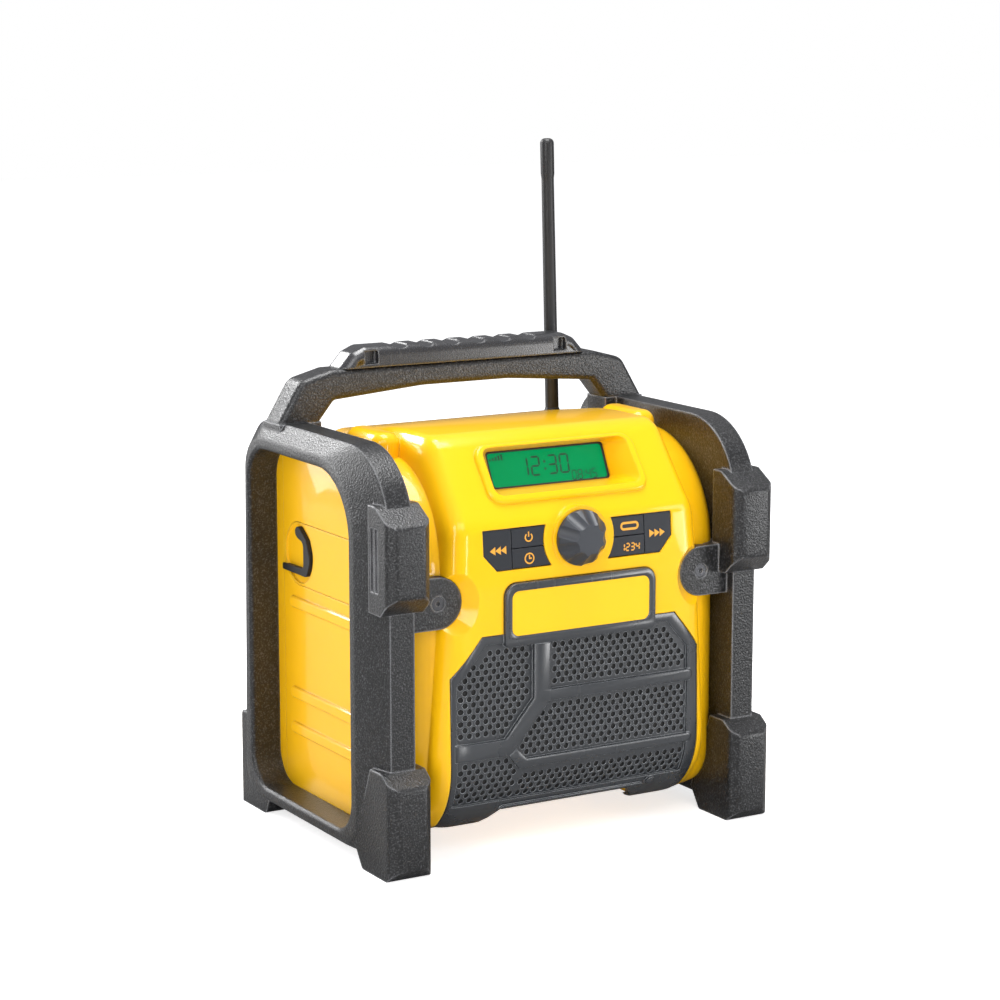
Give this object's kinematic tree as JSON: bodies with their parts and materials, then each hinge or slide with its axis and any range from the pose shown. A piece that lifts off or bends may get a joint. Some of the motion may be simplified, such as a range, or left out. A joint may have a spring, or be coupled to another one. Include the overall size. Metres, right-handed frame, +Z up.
{
  "type": "jobsite radio",
  "caption": "Compact jobsite radio: moulded yellow housing between two black roll-cage guards, arched carry handle, display, keys and tuning knob over a perforated speaker grille.",
  "frame": {"origin": "on the ground under the middle of the whole radio's footprint box", "axes": "+X to the radio's right-hand end seen from the front, front faces -Y, +Z up"},
  "size_m": [0.264, 0.2002, 0.4032],
  "materials": {
    "housing_yellow": "smooth moulded, slight gloss",
    "plate_yellow": "smooth flat plate",
    "guard_black": "coarse moulded texture",
    "grip_rubber": "satin rubber",
    "grille_grey": "satin moulding",
    "key_slate": "satin",
    "knob_grey": "satin soft-touch",
    "gasket_black": "matt",
    "clear_window": "clear gloss",
    "lcd_green": "backlit panel",
    "board_green": "solder mask",
    "steel_dark": "black coated steel",
    "steel_bright": "plated steel",
    "mat_rubber": "silicone",
    "cone_black": "treated paper",
    "screw_black": "black oxide steel",
    "contact_brass": "plated contact",
    "cell_skin": "plain sleeve",
    "antenna_black": "satin rubber"
  },
  "bodies": {
    "radio": {"front_housing": "housing_yellow", "rear_cover": "housing_yellow", "speaker_grille": "grille_grey", "badge_plate": "plate_yellow", "display_gasket": "gasket_black", "display_window": "clear_window", "lcd_panel": "lcd_green", "display_board": "board_green", "encoder_body": "steel_dark", "keypad_mat": "mat_rubber", "keypad_board": "board_green", "left_speaker_basket": "steel_dark", "left_speaker_cone": "cone_black", "left_speaker_magnet": "steel_bright", "right_speaker_basket": "steel_dark", "right_speaker_cone": "cone_black", "right_speaker_magnet": "steel_bright", "aux_hinge_pin": "steel_bright", "aux_jack": "gasket_black", "right_guard": "guard_black", "left_guard": "guard_black", "guard_screws": "screw_black", "handle_frame": "guard_black", "handle_grip": "grip_rubber", "handle_leg_screws": "screw_black", "terminal_block": "gasket_black", "terminal_blades": "contact_brass", "dc_socket": "gasket_black", "backup_cover": "housing_yellow", "backup_cover_screw": "screw_black", "backup_cells": "cell_skin", "cover_screws": "screw_black", "main_board": "board_green", "antenna_ferrule": "antenna_black", "antenna_rod": "antenna_black"},
    "knob": {"tuning_knob": "knob_grey", "knob_shaft": "steel_bright"},
    "right_inner_top_key": {"right_key_inner_top": "key_slate"},
    "right_inner_low_key": {"right_key_inner_low": "key_slate"},
    "right_outer_key": {"right_key_outer": "key_slate"},
    "left_inner_top_key": {"left_key_inner_top": "key_slate"},
    "left_inner_low_key": {"left_key_inner_low": "key_slate"},
    "left_outer_key": {"left_key_outer": "key_slate"},
    "aux_door": {"aux_flap": "housing_yellow", "aux_flap_pull": "gasket_black"}
  },
  "joints": [
    {"name": "knob_turn", "type": "hinge", "parent": "radio", "child": "knob", "pos_m": [0, -0.0891, 0.184], "axis": [0, -1, 0], "continuous": true},
    {"name": "right_inner_top_press", "type": "slide", "parent": "radio", "child": "right_inner_top_key", "axis": [0, 1, 0], "range_m": [0, 0.0008], "stiffness_N_per_m": 400},
    {"name": "right_inner_low_press", "type": "slide", "parent": "radio", "child": "right_inner_low_key", "axis": [0, 1, 0], "range_m": [0, 0.0008], "stiffness_N_per_m": 400},
    {"name": "right_outer_press", "type": "slide", "parent": "radio", "child": "right_outer_key", "axis": [0, 1, 0], "range_m": [0, 0.0008], "stiffness_N_per_m": 400},
    {"name": "left_inner_top_press", "type": "slide", "parent": "radio", "child": "left_inner_top_key", "axis": [0, 1, 0], "range_m": [0, 0.0008], "stiffness_N_per_m": 400},
    {"name": "left_inner_low_press", "type": "slide", "parent": "radio", "child": "left_inner_low_key", "axis": [0, 1, 0], "range_m": [0, 0.0008], "stiffness_N_per_m": 400},
    {"name": "left_outer_press", "type": "slide", "parent": "radio", "child": "left_outer_key", "axis": [0, 1, 0], "range_m": [0, 0.0008], "stiffness_N_per_m": 400},
    {"name": "aux_door_swing", "type": "hinge", "parent": "radio", "child": "aux_door", "pos_m": [-0.114, -0.0299, 0.1625], "axis": [0, 0, 1], "range_deg": [0, 100]}
  ]
}
